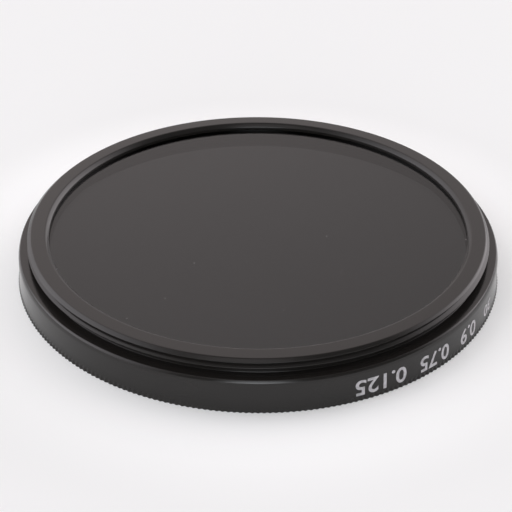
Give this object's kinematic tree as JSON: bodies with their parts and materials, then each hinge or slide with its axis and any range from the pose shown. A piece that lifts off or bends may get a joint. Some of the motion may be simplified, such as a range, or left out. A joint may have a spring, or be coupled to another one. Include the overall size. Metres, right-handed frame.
{
  "type": "lens filter",
  "caption": "Round screw-in neutral-density filter: dark glass disc clamped in a thin threaded metal ring with a knurled front edge.",
  "frame": {"origin": "centre of the front face, on which the filter lies", "axes": "+Z along the optical axis, from the front face towards the lens-side thread; the painted numbers are on the wall towards -Y and +X"},
  "size_m": [0.0546, 0.0546, 0.0055],
  "materials": {
    "frame_ring": "black anodised, satin",
    "filter_glass": "polished neutral-density glass",
    "retaining_ring": "black anodised, matt"
  },
  "bodies": {
    "root": {"frame_ring": "frame_ring", "filter_glass": "filter_glass", "retaining_ring": "retaining_ring"}
  },
  "joints": []
}
